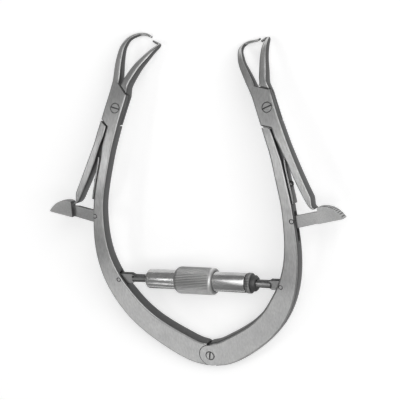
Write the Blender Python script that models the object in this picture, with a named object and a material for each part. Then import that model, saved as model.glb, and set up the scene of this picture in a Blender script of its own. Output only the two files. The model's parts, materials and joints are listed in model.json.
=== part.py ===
"""Self-retaining skin flap retractor: two bowed arms, two clamps, a turnbuckle."""
import math

import bmesh
import bpy
import numpy as np
from mathutils import Matrix, Vector

MM = 0.001

# The instrument is laid out on a strip that follows its side view: x runs across,
# s runs along the strip from the hinge to the jaws, h is the height over the front face.
STEEL_THICKNESS = 6.0 * MM
BOW_START = 32.9 * MM
BOW_RADIUS = 188.0 * MM

# Clearances
RUNNING_GAP = 0.25 * MM
FACE_GAP = 0.30 * MM

# Arms: centre line x, s and width, from the hinge to the clamp
ARM_END_X = 1.5 * MM
ARM_STATIONS = [
    (1.5, 0.3, 12.3), (7.8, 1.7, 12.8), (15.0, 5.2, 13.0), (22.4, 9.7, 12.5),
    (29.6, 15.0, 12.0), (36.4, 21.8, 11.7), (42.1, 30.2, 11.0), (46.5, 39.2, 9.5),
    (49.2, 48.8, 8.1), (50.3, 58.3, 7.0), (50.2, 68.0, 6.1), (49.4, 78.0, 5.6),
    (47.4, 88.4, 5.4), (45.1, 98.6, 5.2),
]
ARM_END_SLANT = (12.2, 1.4)
ARM_CORNER = 0.9 * MM

# Hinge of the two arms
HINGE_TONGUE_RADIUS = 5.5 * MM
HINGE_SHANK_RADIUS = 1.4 * MM
HINGE_HEAD_RADIUS = 2.15 * MM

# Clamps: the pivot, the lean of each clamp towards the middle and the line between its two handles
PIVOT_X = 39.9 * MM
PIVOT_S = 123.8 * MM
CLAMP_LEAN = {-1: math.radians(16.0), 1: math.radians(21.0)}
CLAMP_PARTING = {-1: -1.75, 1: -1.45}
CLAMP_HEAD_LEFT = -5.9
CLAMP_HEAD_RIGHT = 3.9
HANDLE_TOP = -9.6
SHOULDER_LOW = -6.9
SHOULDER_HIGH = 7.6
JAW_ROOT = 12.0
JAW_ROOTS = {
    "left_front": (-6.3, -2.4), "left_rear": (-1.15, 2.75),
    "right_front": (-6.5, -2.7), "right_rear": (-0.6, 3.3),
}
PIVOT_SHANK_RADIUS = 1.5 * MM
PIVOT_HEAD_RADIUS = 2.35 * MM
SCREW_HEAD_PROUD = 0.3 * MM
SCREW_HEAD_DEPTH = 1.3 * MM
SCREW_SLOT_WIDTH = 0.7 * MM
SCREW_SLOT_DEPTH = 0.6 * MM
CLAMP_SLOT_TURN = {-1: math.radians(0.5), 1: math.radians(3.0)}
HINGE_SLOT_TURN = math.radians(78.0)

# Jaws: from its root each one follows the bow, then bends tightly down about a line across its clamp
JAW_BEND_START = {-1: 16.0 * MM, 1: 11.0 * MM}
JAW_BEND_RADIUS = {-1: 16.0 * MM, 1: 18.0 * MM}

# Centre lines of the jaws in clamp axes: across, along from the root, width, thickness and height of the
# middle, from near the root to the tip of the tooth
JAW_PATHS = {
    "left_front": [
        (-4.8, 2.2, 3.9, 5.7, -2.9), (-6.8, 9.8, 3.6, 4.7, -2.5), (-7.8, 16.1, 3.0, 3.7, -2.1),
        (-7.7, 20.2, 2.6, 3.0, -1.9), (-7.0, 24.0, 2.1, 2.4, -1.6), (-5.1, 27.3, 1.8, 1.9, -1.3),
        (-3.3, 29.2, 1.6, 1.6, -1.1), (-0.8, 30.0, 1.4, 1.4, -1.0), (2.5, 29.3, 0.9, 0.9, -1.1),
    ],
    "left_rear": [
        (1.1, 2.2, 3.9, 5.7, -2.9), (2.1, 6.2, 3.8, 5.2, -2.8), (3.7, 11.3, 3.5, 4.5, -2.7),
        (6.2, 16.6, 3.0, 3.6, -2.5), (7.6, 20.7, 2.5, 2.9, -2.4), (8.6, 24.3, 2.0, 2.1, -2.4),
        (8.5, 26.6, 1.6, 1.6, -2.5), (6.4, 27.6, 1.4, 1.4, -2.6), (3.6, 28.7, 1.0, 1.0, -2.7),
    ],
    "right_front": [
        (-4.9, 2.2, 3.9, 5.7, -2.9), (-5.5, 6.2, 3.8, 5.2, -2.7), (-6.5, 12.7, 3.3, 4.2, -2.3),
        (-6.7, 17.7, 2.8, 3.4, -2.0), (-6.7, 22.8, 2.2, 2.5, -1.6), (-5.8, 26.4, 1.8, 1.9, -1.3),
        (-4.2, 27.7, 1.6, 1.6, -1.1), (-2.1, 27.2, 1.5, 1.5, -1.0), (1.9, 25.2, 1.3, 1.3, -1.0),
        (3.6, 26.1, 0.9, 0.9, -1.1),
    ],
    "right_rear": [
        (1.8, 2.4, 3.9, 5.6, -2.9), (3.0, 6.6, 3.8, 5.0, -2.8), (4.8, 13.3, 3.3, 4.1, -2.6),
        (6.1, 18.4, 2.8, 3.3, -2.4), (7.2, 23.3, 2.1, 2.3, -2.4), (7.1, 26.2, 1.7, 1.7, -2.5),
        (5.1, 27.7, 1.4, 1.4, -2.6), (3.3, 26.7, 1.0, 1.0, -2.7),
    ],
}

# Clamp levers below the pivot, on the outer side: outer edge and inner edge
LEVER_OUTER = [
    (63.3, 77.4), (62.4, 78.3), (62.1, 79.4), (62.0, 80.8), (61.7, 82.8), (59.7, 87.0), (56.9, 93.1),
    (54.0, 99.6),
]
LEVER_INNER = [
    (62.8, 77.0), (61.5, 77.4), (60.2, 78.6), (59.2, 80.2), (58.2, 82.1), (56.3, 85.6), (53.5, 91.2),
    (50.6, 97.8),
]
LEVER_CORNER = 0.6 * MM

# Latches that hold the levers shut
LATCH_PIN_X = 51.8 * MM
LATCH_PIN_S = 71.2 * MM
LATCH_PIN_RADIUS = 0.95 * MM
LATCH_THICKNESS = 4.4 * MM
LATCH_BAR_THICKNESS = 2.0 * MM
LATCH_STEP_X = 12.9 * MM
LATCH_OUTLINE = [
    (-1.9, -1.6), (0.0, -2.5), (2.2, -3.4), (13.2, -0.8), (24.9, 1.7), (25.4, 2.2), (23.7, 4.2), (21.9, 5.7),
    (20.0, 6.7), (17.4, 7.3), (15.0, 7.4), (13.3, 7.0), (12.9, 6.2), (12.9, 4.3), (10.5, 4.2), (2.6, 2.5),
    (0.0, 2.4), (-1.9, 1.4),
]
LATCH_SLOT_LOW = 61.0 * MM
LATCH_SLOT_HIGH = 75.6 * MM
LATCH_SLOT_REACH = 2.7 * MM

# Leaf springs between arm and lever
SPRING_THICKNESS = 0.9 * MM
SPRING_WIDTH = 4.4 * MM
SPRING_LOW = 79.4 * MM
SPRING_HIGH = 99.8 * MM
SPRING_LIFT_FROM = 90.5 * MM
SPRING_LIFT = 0.35 * MM
SPRING_SCREW_S = 88.3 * MM
SPRING_SCREW_RADIUS = 0.8 * MM
SPRING_SCREW_HEAD = 1.4 * MM

# Turnbuckle: spindle pins, spindles, barrel, grip and lock nut
SPINDLE_PIN_X = 43.05 * MM
SPINDLE_S = 38.95 * MM
SPINDLE_PIN_RADIUS = 0.9 * MM
SPINDLE_RADIUS = 2.0 * MM
SPINDLE_EYE_HEIGHT = 4.8 * MM
SPINDLE_EYE_THICKNESS = 2.4 * MM
EYE_INNER_END = {-1: 36.3 * MM, 1: 37.6 * MM}
EYE_OUTER_REACH = 2.0 * MM
EYE_SLOT_PLAY = (-0.62 * MM, 0.25 * MM)
EYE_SWING_ROOM = 0.8 * MM
SPINDLE_INNER_TIP = 6.0 * MM
BARREL_LEFT = -28.0 * MM
BARREL_RIGHT = 24.8 * MM
BARREL_RADIUS = 4.8 * MM
BARREL_ROUNDING = 1.8 * MM
GRIP_LEFT = -12.0 * MM
GRIP_RIGHT = 8.5 * MM
GRIP_WALL = 1.5 * MM
GRIP_ROUNDING = 2.4 * MM
GRIP_CHAMFER = 0.9 * MM
GRIP_FACE = 0.3 * MM
NUT_LENGTH = 5.1 * MM
NUT_STEP = 0.15 * MM
NUT_CHAMFER = 1.7 * MM
EDGE_BREAK = 0.3 * MM

FACETS = 32

parts = None
cutters = None
instrument = None


def clear_scene():
    for item in list(bpy.data.objects):
        bpy.data.objects.remove(item, do_unlink=True)


def new_collection(name):
    group = bpy.data.collections.new(name)
    bpy.context.scene.collection.children.link(group)
    return group


def steel(name, grey, roughness):
    material = bpy.data.materials.new(name)
    material.use_nodes = True
    shader = material.node_tree.nodes["Principled BSDF"]
    shader.inputs["Base Color"].default_value = (grey, grey, grey * 0.98, 1.0)
    shader.inputs["Metallic"].default_value = 1.0
    shader.inputs["Roughness"].default_value = roughness
    return material


def strip_angle(s):
    """Slope of the strip at arc length s: flat at the hinge, then a wide bow."""
    return max(0.0, s - BOW_START) / BOW_RADIUS


def spot(x, s, h=0.0):
    """Point of the instrument for layout place x, s at height h over the front face."""
    angle = strip_angle(s)
    y = min(s, BOW_START) + BOW_RADIUS * math.sin(angle)
    z = -BOW_RADIUS * (1.0 - math.cos(angle))
    return Vector((x, y + h * math.sin(angle), z + h * math.cos(angle)))


def local_frame(x, s, h=0.0, turn=0.0):
    """Matrix whose Z is the strip's normal at x, s and whose Y runs along the strip, turned about Z."""
    place = Matrix.Translation(spot(x, s, h))
    return place @ Matrix.Rotation(-strip_angle(s), 4, "X") @ Matrix.Rotation(turn, 4, "Z")


def spindle_frame(x):
    """Frame of a spindle pin, parallel to the hinge so that the linkage turns in one plane."""
    return Matrix.Translation(spot(x, SPINDLE_S))


def smooth_path(points, steps):
    """Catmull-Rom curve through the points, as an array of steps places for each span."""
    given = np.array(points, float)
    first = 2 * given[0] - given[1]
    last = 2 * given[-1] - given[-2]
    padded = np.vstack([first, given, last])
    result = []
    for i in range(1, len(padded) - 2):
        p0, p1, p2, p3 = padded[i - 1], padded[i], padded[i + 1], padded[i + 2]
        for t in np.linspace(0.0, 1.0, steps, endpoint=False):
            result.append(0.5 * (2 * p1 + (p2 - p0) * t + (2 * p0 - 5 * p1 + 4 * p2 - p3) * t ** 2
                                 + (3 * p1 - p0 - 3 * p2 + p3) * t ** 3))
    result.append(given[-1])
    return np.array(result)


def rounded_section(left, right, top, bottom, corner):
    """Closed ring of layout places (x, s, h) round a bar between two edges, with rounded corners."""
    left, right = np.array(left), np.array(right)
    width = np.linalg.norm(right - left)
    across = (right - left) / width
    corner = min(corner, 0.42 * width, 0.42 * (top - bottom))
    ring = []
    for side, level, start in ((1, top, 0), (-1, top, 90), (-1, bottom, 180), (1, bottom, 270)):
        for turn in (0, 45, 90):
            angle = math.radians(start + turn)
            base = right if side > 0 else left
            along = base - side * across * corner + across * corner * math.cos(angle)
            height = level - math.copysign(corner, level - 0.5 * (top + bottom)) + corner * math.sin(angle)
            ring.append((along[0], along[1], height))
    return ring


def on_strip(rings):
    """Points of rings of layout places."""
    return [[spot(*place) for place in ring] for ring in rings]


def loft(name, rings, material):
    """Solid skin through rings of points, closed with a cap at each end."""
    mesh = bpy.data.meshes.new(name)
    bm = bmesh.new()
    rows = [[bm.verts.new(point) for point in ring] for ring in rings]
    count = len(rows[0])
    for row, following in zip(rows[:-1], rows[1:]):
        for i in range(count):
            j = (i + 1) % count
            bm.faces.new((row[i], row[j], following[j], following[i]))
    bm.faces.new(rows[0])
    bm.faces.new(rows[-1])
    bmesh.ops.recalc_face_normals(bm, faces=bm.faces)
    bm.to_mesh(mesh)
    bm.free()
    return add_part(name, mesh, material)


def add_part(name, mesh, material, smooth_angle=35.0):
    part = bpy.data.objects.new(name, mesh)
    parts.objects.link(part)
    part.parent = instrument
    mesh.materials.clear()
    mesh.materials.append(material)
    mesh.shade_smooth()
    mesh.set_sharp_from_angle(angle=math.radians(smooth_angle))
    return part


def add_cutter(name, mesh):
    cutter = bpy.data.objects.new(name, mesh)
    cutters.objects.link(cutter)
    cutter.parent = instrument
    cutter.display_type = "WIRE"
    cutter.hide_render = True
    return cutter


def cylinder_mesh(name, radius, low, high, facets=FACETS):
    mesh = bpy.data.meshes.new(name)
    bm = bmesh.new()
    place = Matrix.Translation((0, 0, 0.5 * (low + high)))
    bmesh.ops.create_cone(bm, cap_ends=True, segments=facets, radius1=radius, radius2=radius,
                          depth=high - low, matrix=place)
    bm.to_mesh(mesh)
    bm.free()
    return mesh


def box_mesh(name, low, high):
    mesh = bpy.data.meshes.new(name)
    bm = bmesh.new()
    size = Vector(high) - Vector(low)
    middle = 0.5 * (Vector(high) + Vector(low))
    bmesh.ops.create_cube(bm, size=1.0, matrix=Matrix.Translation(middle) @ Matrix.Diagonal((*size, 1.0)))
    bm.to_mesh(mesh)
    bm.free()
    return mesh


def outline_mesh(name, outline, low, high):
    """Flat plate of a closed outline between two heights, from a filled and extruded 2D curve."""
    curve = bpy.data.curves.new(name, "CURVE")
    curve.dimensions = "2D"
    curve.fill_mode = "BOTH"
    curve.extrude = 0.5 * (high - low)
    spline = curve.splines.new("POLY")
    spline.points.add(len(outline) - 1)
    for point, (x, y) in zip(spline.points, outline):
        point.co = (x, y, 0.0, 1.0)
    spline.use_cyclic_u = True
    holder = bpy.data.objects.new(name, curve)
    bpy.context.scene.collection.objects.link(holder)
    bpy.context.view_layer.update()
    seen = holder.evaluated_get(bpy.context.evaluated_depsgraph_get())
    mesh = bpy.data.meshes.new_from_object(seen)
    bpy.data.objects.remove(holder, do_unlink=True)
    bm = bmesh.new()
    bm.from_mesh(mesh)
    bmesh.ops.remove_doubles(bm, verts=bm.verts, dist=0.00001)
    bmesh.ops.translate(bm, verts=bm.verts, vec=(0, 0, 0.5 * (low + high)))
    bmesh.ops.recalc_face_normals(bm, faces=bm.faces)
    bm.to_mesh(mesh)
    bm.free()
    return mesh


def turned_mesh(name, profile, facets=FACETS):
    """Solid of revolution about Z from a profile of (radius, z) that starts and ends on the axis."""
    mesh = bpy.data.meshes.new(name)
    bm = bmesh.new()
    verts = [bm.verts.new((radius, 0.0, z)) for radius, z in profile]
    edges = [bm.edges.new(pair) for pair in zip(verts[:-1], verts[1:])]
    bmesh.ops.spin(bm, geom=verts + edges, cent=(0, 0, 0), axis=(0, 0, 1), angle=math.tau, steps=facets,
                   use_merge=True)
    bmesh.ops.remove_doubles(bm, verts=bm.verts, dist=0.000001)
    bmesh.ops.recalc_face_normals(bm, faces=bm.faces)
    bm.to_mesh(mesh)
    bm.free()
    return mesh


def cut(part, cutter, operation="DIFFERENCE"):
    step = part.modifiers.new(cutter.name, "BOOLEAN")
    step.operation = operation
    step.object = cutter
    step.solver = "EXACT"
    return step


def clamp_place(side, across, along):
    """Layout place of a point in clamp axes, in metres: across to the right, along towards the jaws."""
    lean = CLAMP_LEAN[side]
    x = side * PIVOT_X + across * math.cos(lean) - side * along * math.sin(lean)
    s = PIVOT_S + side * across * math.sin(lean) + along * math.cos(lean)
    return (x, s)


def path_sections(places, widths, tops, bottoms, corner, first_tangent=None):
    """Sections square to a centre line given as layout places."""
    places = np.array(places)
    tangents = np.gradient(places, axis=0)
    if first_tangent is not None:
        tangents[0] = first_tangent
    rings = []
    for place, tangent, width, top, bottom in zip(places, tangents, widths, tops, bottoms):
        tangent = tangent / np.linalg.norm(tangent)
        half = np.array([tangent[1], -tangent[0]]) * width / 2
        rings.append(rounded_section(place - half, place + half, top, bottom, corner))
    return rings


def jaw_spot(side, across, along, h):
    """Point of a jaw in its clamp's axes: the bow goes on from the root, then the tight bend follows."""
    wide = min(along, JAW_BEND_START[side]) / BOW_RADIUS
    radius = JAW_BEND_RADIUS[side]
    angle = wide + max(0.0, along - JAW_BEND_START[side]) / radius
    y = BOW_RADIUS * math.sin(wide) + radius * (math.sin(angle) - math.sin(wide))
    z = -BOW_RADIUS * (1.0 - math.cos(wide)) - radius * (math.cos(wide) - math.cos(angle))
    root = local_frame(*clamp_place(side, 0.0, JAW_ROOT * MM), 0.0, side * CLAMP_LEAN[side])
    return root @ Vector((across, y + h * math.sin(angle), z + h * math.cos(angle)))


def jaw_sections(side, kind):
    """Rings of points of one jaw, from above the lap to the tip of its tooth."""
    path = smooth_path(JAW_PATHS[side_name(side) + "_" + kind], 3) * MM
    middles, halves = path[:, 4], path[:, 3] / 2
    rings = path_sections(path[:, :2], path[:, 2], middles + halves, middles - halves, ARM_CORNER)
    return [[jaw_spot(side, *place) for place in ring] for ring in rings]


def head_edges(side, kind):
    """Rows of (along, left edge, right edge) of one clamp half, from its handle to the root of its jaw."""
    left, right, parting = CLAMP_HEAD_LEFT, CLAMP_HEAD_RIGHT, CLAMP_PARTING[side]
    root = JAW_ROOTS[side_name(side) + "_" + kind]
    half_gap = FACE_GAP / MM / 2
    is_lever = (kind == "rear") == (side < 0)
    spread = 0.7 if is_lever else 0.0
    if kind == "front":
        near = parting + half_gap
        rows = [(-19.5, near + spread, right + 0.3), (-14.5, near, right + 0.2),
                (HANDLE_TOP, near, right + 0.1), (SHOULDER_LOW, left, right), (-3.0, left, right),
                (1.0, left, right), (4.5, left, right), (SHOULDER_HIGH, left - 0.1, right - 0.1),
                (JAW_ROOT, *root)]
    else:
        near = parting - half_gap
        rows = [(-19.5, left - 0.3, near - spread), (-14.5, left - 0.2, near),
                (HANDLE_TOP, left - 0.1, near), (SHOULDER_LOW, left, right), (-3.0, left, right),
                (1.0, left, right), (4.5, left, right), (SHOULDER_HIGH, left + 0.1, right),
                (JAW_ROOT, *root)]
    return rows


def head_sections(side, kind):
    """Sections of one clamp half, square to the clamp's own line."""
    rings = []
    for along, left, right in head_edges(side, kind):
        low = clamp_place(side, left * MM, along * MM)
        high = clamp_place(side, right * MM, along * MM)
        rings.append(rounded_section(low, high, 0.0, -STEEL_THICKNESS, ARM_CORNER))
    return rings


def side_name(side):
    return "left" if side < 0 else "right"


def lap_cutter(side, kind):
    """Prism that clears the other half's share of the thickness, along its slanting shoulders."""
    left, right, parting = CLAMP_HEAD_LEFT, CLAMP_HEAD_RIGHT, CLAMP_PARTING[side]
    beyond, rim = 4.0, 0.45
    if kind == "front":
        inner_root = JAW_ROOTS[side_name(side) + "_rear"][0]
        low_line = [(left - beyond, HANDLE_TOP - 1.5), (parting, HANDLE_TOP - 1.5),
                    (parting, HANDLE_TOP - rim), (right, SHOULDER_LOW - rim), (right + beyond, SHOULDER_LOW)]
        high_line = [(right + beyond, JAW_ROOT + 2.0), (inner_root, JAW_ROOT + 2.0),
                     (inner_root, JAW_ROOT + rim), (left, SHOULDER_HIGH + rim),
                     (left - beyond, SHOULDER_HIGH - 2.0)]
        low, high = -2 * STEEL_THICKNESS, -STEEL_THICKNESS / 2 + FACE_GAP / 2
    else:
        inner_root = JAW_ROOTS[side_name(side) + "_front"][1]
        low_line = [(left - beyond, SHOULDER_LOW - 1.0), (left, SHOULDER_LOW - 2 * rim),
                    (parting, HANDLE_TOP - rim), (parting, HANDLE_TOP - 1.5),
                    (right + beyond, HANDLE_TOP - 1.5)]
        high_line = [(right + beyond, SHOULDER_HIGH - 2.0), (right, SHOULDER_HIGH + rim),
                     (inner_root, JAW_ROOT + rim), (inner_root, JAW_ROOT + 2.0),
                     (left - beyond, JAW_ROOT + 2.0)]
        low, high = -STEEL_THICKNESS / 2 - FACE_GAP / 2, STEEL_THICKNESS
    outline = [(u * MM, v * MM) for u, v in low_line + high_line]
    cutter = add_cutter(side_name(side) + "_" + kind + "_lap_cut", outline_mesh("lap", outline, low, high))
    cutter.matrix_local = pivot_frame(side)
    return cutter


def cut_box(part, name, frame, xs, ys, zs):
    """Cut a box, given by its limits along the axes of a frame, out of a part."""
    low, high = zip(*(sorted(pair) for pair in (xs, ys, zs)))
    cutter = add_cutter(name, box_mesh(name, low, high))
    cutter.matrix_local = frame
    cut(part, cutter)


def hole_cutter(name, frame, radius, low, high, facets=FACETS):
    cutter = add_cutter(name, cylinder_mesh(name, radius, low, high, facets))
    cutter.matrix_local = frame
    return cutter


def pivot_frame(side):
    return local_frame(side * PIVOT_X, PIVOT_S, 0.0, side * CLAMP_LEAN[side])


def screw_seat_profile(head_radius, shank_radius):
    """Countersunk seat of a slotted screw, as a cutter profile from below the part to above it."""
    return [
        (0.0, -STEEL_THICKNESS * 1.5), (shank_radius + RUNNING_GAP, -STEEL_THICKNESS * 1.5),
        (shank_radius + RUNNING_GAP, -SCREW_HEAD_DEPTH - RUNNING_GAP),
        (head_radius + RUNNING_GAP, -SCREW_HEAD_DEPTH - RUNNING_GAP),
        (head_radius + RUNNING_GAP, STEEL_THICKNESS), (0.0, STEEL_THICKNESS),
    ]


def seat_cutter(name, frame, head_radius, shank_radius):
    cutter = add_cutter(name, turned_mesh(name, screw_seat_profile(head_radius, shank_radius)))
    cutter.matrix_local = frame
    return cutter


def slotted_screw(name, frame, head_radius, shank_radius, length, slot_turn, material):
    """Screw with a low domed head let into its seat, a driver slot and a plain shank."""
    top = SCREW_HEAD_PROUD
    profile = [
        (0.0, top), (head_radius * 0.55, top * 0.93), (head_radius * 0.85, top * 0.65),
        (head_radius, top * 0.15), (head_radius, -SCREW_HEAD_DEPTH), (shank_radius, -SCREW_HEAD_DEPTH),
        (shank_radius, -length + EDGE_BREAK), (shank_radius - EDGE_BREAK, -length), (0.0, -length),
    ]
    screw = add_part(name, turned_mesh(name, profile), material)
    screw.matrix_local = frame
    reach = head_radius * 1.2
    cut_box(screw, name + "_slot", frame @ Matrix.Rotation(slot_turn, 4, "Z"), (-reach, reach),
            (-SCREW_SLOT_WIDTH / 2, SCREW_SLOT_WIDTH / 2), (top - SCREW_SLOT_DEPTH, top + SCREW_SLOT_DEPTH))
    return screw


def build_arm(side, material):
    name = side_name(side)
    kind = "front" if side < 0 else "rear"
    rows = smooth_path(ARM_STATIONS, 3)
    places = [(side * row[0] * MM, row[1] * MM) for row in rows]
    count = len(rows)
    tops, bottoms = np.zeros(count), np.full(count, -STEEL_THICKNESS)
    body = path_sections(places, rows[:, 2] * MM, tops, bottoms, ARM_CORNER,
                         first_tangent=(side * ARM_END_SLANT[0], ARM_END_SLANT[1]))
    rings = on_strip(body + head_sections(side, kind)) + jaw_sections(side, kind)
    arm = loft(name + "_arm", rings, material)

    # round tongue of the hinge, then the other arm's half of the thickness is cleared
    tongue = add_cutter(name + "_tongue", cylinder_mesh("tongue", HINGE_TONGUE_RADIUS, -STEEL_THICKNESS, 0.0))
    cut(arm, tongue, "UNION")
    middle = -STEEL_THICKNESS / 2
    if side < 0:
        low, high = middle - FACE_GAP / 2, STEEL_THICKNESS
    else:
        low, high = -2 * STEEL_THICKNESS, middle + FACE_GAP / 2
    recess = cylinder_mesh("recess", HINGE_TONGUE_RADIUS + FACE_GAP, low, high, 48)
    cut(arm, add_cutter(name + "_hinge_recess", recess))
    cut(arm, seat_cutter(name + "_hinge_seat", Matrix.Identity(4), HINGE_HEAD_RADIUS, HINGE_SHANK_RADIUS))

    # clamp lap and pivot
    cut(arm, lap_cutter(side, kind))
    seat = seat_cutter(name + "_arm_pivot_seat", pivot_frame(side), PIVOT_HEAD_RADIUS, PIVOT_SHANK_RADIUS)
    cut(arm, seat)

    # slot and pin hole of the latch, open to the outer side
    frame = local_frame(side * LATCH_PIN_X, LATCH_PIN_S)
    bar_top = LATCH_BAR_THICKNESS - LATCH_THICKNESS
    cut_box(arm, name + "_latch_slot", frame, (-side * LATCH_SLOT_REACH, side * 6.0 * MM),
            (LATCH_SLOT_LOW - LATCH_PIN_S, LATCH_SLOT_HIGH - LATCH_PIN_S),
            (-LATCH_THICKNESS - FACE_GAP, bar_top + FACE_GAP))
    cut(arm, hole_cutter(name + "_latch_pin_hole", frame, LATCH_PIN_RADIUS + RUNNING_GAP,
                         -2 * STEEL_THICKNESS, STEEL_THICKNESS, 24))

    # slot and pin hole of the spindle, open to the inner side
    frame = spindle_frame(side * SPINDLE_PIN_X)
    half = SPINDLE_EYE_THICKNESS / 2 + FACE_GAP
    half_height = SPINDLE_EYE_HEIGHT / 2 + EYE_SWING_ROOM
    slot_ends = (side * (EYE_OUTER_REACH + EYE_SWING_ROOM), -side * 12.0 * MM)
    cut_box(arm, name + "_spindle_slot", frame, slot_ends, (-half_height, half_height),
            (middle - half, middle + half))
    cut(arm, hole_cutter(name + "_spindle_pin_hole", frame, SPINDLE_PIN_RADIUS + RUNNING_GAP,
                         -2 * STEEL_THICKNESS, STEEL_THICKNESS, 24))

    # tapped hole of the spring screw
    cut(arm, hole_cutter(name + "_spring_screw_hole", spring_screw_frame(side),
                         SPRING_SCREW_RADIUS + RUNNING_GAP, -3.2 * MM, 3.0 * MM, 20))
    return arm


def arm_outer_edge(side, s_wanted):
    """Layout x and outward direction of the arm's outer edge at arc length s."""
    rows = smooth_path(ARM_STATIONS, 6) * MM
    places = rows[:, :2]
    tangents = np.gradient(places, axis=0)
    tangents /= np.linalg.norm(tangents, axis=1)[:, None]
    outward = np.stack([tangents[:, 1], -tangents[:, 0]], axis=1)
    edge = places + outward * rows[:, 2:3] / 2
    keep = edge[:, 1] > BOW_START
    x = np.interp(s_wanted, edge[keep, 1], edge[keep, 0])
    nx = np.interp(s_wanted, edge[keep, 1], outward[keep, 0])
    ns = np.interp(s_wanted, edge[keep, 1], outward[keep, 1])
    return side * x, np.array([side * nx, ns])


def spring_screw_frame(side):
    """Frame at the arm's outer edge with Z along the outward direction."""
    x, outward = arm_outer_edge(side, SPRING_SCREW_S)
    base = spot(x, SPRING_SCREW_S, -STEEL_THICKNESS / 2)
    angle = strip_angle(SPRING_SCREW_S)
    z_axis = Vector((outward[0], outward[1] * math.cos(angle), -outward[1] * math.sin(angle)))
    z_axis.normalize()
    x_axis = Vector((0, math.sin(angle), math.cos(angle)))
    y_axis = z_axis.cross(x_axis)
    rotation = Matrix((x_axis, y_axis, z_axis)).transposed().to_4x4()
    return Matrix.Translation(base) @ rotation


def build_lever(side, material):
    name = side_name(side)
    kind = "rear" if side < 0 else "front"
    outer = smooth_path(LEVER_OUTER, 2) * MM
    inner = smooth_path(LEVER_INNER, 2) * MM
    rings = []
    for out_edge, in_edge in zip(outer, inner):
        a = (side * out_edge[0], out_edge[1])
        b = (side * in_edge[0], in_edge[1])
        low, high = (a, b) if side < 0 else (b, a)
        rings.append(rounded_section(low, high, 0.0, -STEEL_THICKNESS, LEVER_CORNER))
    rings = on_strip(rings + head_sections(side, kind)) + jaw_sections(side, kind)
    lever = loft(name + "_clamp_lever", rings, material)
    cut(lever, lap_cutter(side, kind))
    seat = seat_cutter(name + "_lever_pivot_seat", pivot_frame(side), PIVOT_HEAD_RADIUS, PIVOT_SHANK_RADIUS)
    cut(lever, seat)
    return lever


def build_latch(side, material):
    name = side_name(side) + "_latch"
    outline = [(side * x * MM, y * MM) for x, y in LATCH_OUTLINE]
    latch = add_part(name, outline_mesh(name, outline, -LATCH_THICKNESS, 0.0), material)
    frame = local_frame(side * LATCH_PIN_X, LATCH_PIN_S)
    latch.matrix_local = frame
    cut_box(latch, name + "_step", frame, (-side * 6.0 * MM, side * LATCH_STEP_X), (-9.0 * MM, 9.0 * MM),
            (LATCH_BAR_THICKNESS - LATCH_THICKNESS, 3.0 * MM))
    cut(latch, hole_cutter(name + "_hole", frame, LATCH_PIN_RADIUS + RUNNING_GAP, -8.0 * MM, 2.0 * MM, 24))
    return latch


def build_pin(name, frame, radius, material):
    """Plain pin with flush, slightly rounded ends."""
    top, low, edge = -0.05 * MM, -STEEL_THICKNESS + 0.05 * MM, 0.15 * MM
    profile = [(0.0, top), (radius - edge, top), (radius, top - edge), (radius, low + edge),
               (radius - edge, low), (0.0, low)]
    pin = add_part(name, turned_mesh(name, profile, 20), material)
    pin.matrix_local = frame
    return pin


def build_spring(side, material):
    """Leaf that lies along the arm's outer side, then lifts towards the lever."""
    name = side_name(side) + "_leaf_spring"
    top = -(STEEL_THICKNESS - SPRING_WIDTH) / 2
    rings = []
    for s in np.linspace(SPRING_LOW, SPRING_HIGH, 16):
        x, outward = arm_outer_edge(side, s)
        lift = max(0.0, s - SPRING_LIFT_FROM) / (SPRING_HIGH - SPRING_LIFT_FROM)
        start = FACE_GAP + SPRING_LIFT * lift ** 2
        base = np.array([x, s])
        rings.append(rounded_section(base + outward * start, base + outward * (start + SPRING_THICKNESS),
                                     top, top - SPRING_WIDTH, 0.2 * MM))
    spring = loft(name, on_strip(rings), material)
    cut(spring, hole_cutter(name + "_hole", spring_screw_frame(side), SPRING_SCREW_RADIUS + RUNNING_GAP,
                            -1.0 * MM, 3.0 * MM, 20))
    return spring


def build_spring_screw(side, material):
    seat = FACE_GAP + SPRING_THICKNESS + 0.1 * MM
    name = side_name(side) + "_spring_screw"
    radius, head, rise = SPRING_SCREW_RADIUS, SPRING_SCREW_HEAD, 1.0 * MM
    profile = [(0.0, seat + rise), (head * 0.6, seat + rise * 0.85), (head, seat + rise * 0.4), (head, seat),
               (radius, seat), (radius, -2.8 * MM), (0.0, -2.8 * MM)]
    screw = add_part(name, turned_mesh(name, profile, 24), material)
    frame = spring_screw_frame(side)
    screw.matrix_local = frame
    cut_box(screw, name + "_slot", frame, (-head * 1.2, head * 1.2), (-0.22 * MM, 0.22 * MM),
            (seat + rise * 0.55, seat + rise * 2))
    return screw


def axis_frame():
    """Frame of the turnbuckle: Z runs along +X through the spindle pins at half thickness."""
    middle = Matrix.Translation((0.0, 0.0, -STEEL_THICKNESS / 2))
    return spindle_frame(0.0) @ middle @ Matrix.Rotation(math.pi / 2, 4, "Y")


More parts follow.
